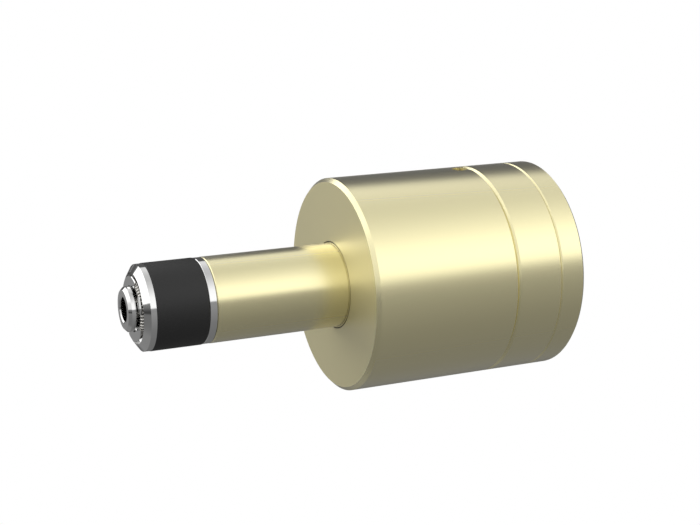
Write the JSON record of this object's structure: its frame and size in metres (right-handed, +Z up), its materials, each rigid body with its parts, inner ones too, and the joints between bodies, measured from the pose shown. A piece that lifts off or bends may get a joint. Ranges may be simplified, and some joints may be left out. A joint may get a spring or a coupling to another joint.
{
  "type": "internal pipe sealing connector",
  "caption": "Air-operated connector that seals inside a tube: a rubber ring on a slim barrel is squeezed outwards by a piston in the round body; test port at the rear.",
  "frame": {"origin": "centre of the rear face, at the mouth of the test port", "axes": "+X along the connector's axis, out of the rear face; the nose points to -X; +Z up, out of the pilot port"},
  "size_m": [0.1189, 0.0572, 0.0572],
  "materials": {
    "gold_anodised_body": "satin anodised, fine turned",
    "gold_anodised_barrel": "satin anodised, fine turned",
    "polished_steel": "polished stainless steel",
    "ground_steel": "ground stainless steel",
    "spring_steel": "bright drawn wire",
    "seal_rubber": "matt moulded",
    "nitrile_rings": "smooth moulded",
    "guide_plastic": "filled PTFE, natural",
    "bronze": "machined bearing bronze",
    "black_screws": "black oxide on alloy steel",
    "bare_aluminium": "turned, bare"
  },
  "bodies": {
    "body": {"housing_body": "gold_anodised_body", "middle_cover": "gold_anodised_body", "rear_cover": "gold_anodised_body", "front_barrel": "gold_anodised_barrel", "barrel_retaining_ring": "ground_steel", "barrel_wiper": "nitrile_rings", "barrel_guide_bush": "bronze", "cover_bore_oring": "nitrile_rings", "cover_face_oring": "nitrile_rings", "mandrel_face_oring": "nitrile_rings", "cover_screws": "black_screws", "mandrel": "polished_steel", "front_collar": "polished_steel", "collar_oring": "nitrile_rings", "retainer_segments": "polished_steel", "garter_spring": "spring_steel", "main_seal": "seal_rubber", "spring_washer": "ground_steel", "return_spring": "spring_steel"},
    "piston_group": {"piston": "bare_aluminium", "piston_seal": "nitrile_rings", "piston_guide_ring": "guide_plastic", "piston_inner_oring": "nitrile_rings", "push_sleeve": "ground_steel", "support_ring": "polished_steel"}
  },
  "joints": [
    {"name": "piston_slide", "type": "slide", "parent": "body", "child": "piston_group", "axis": [-1, 0, 0], "range_m": [0, 0.0035], "stiffness_N_per_m": 3400, "springref_m": -0.004, "deforming": ["main_seal", "return_spring"]}
  ]
}
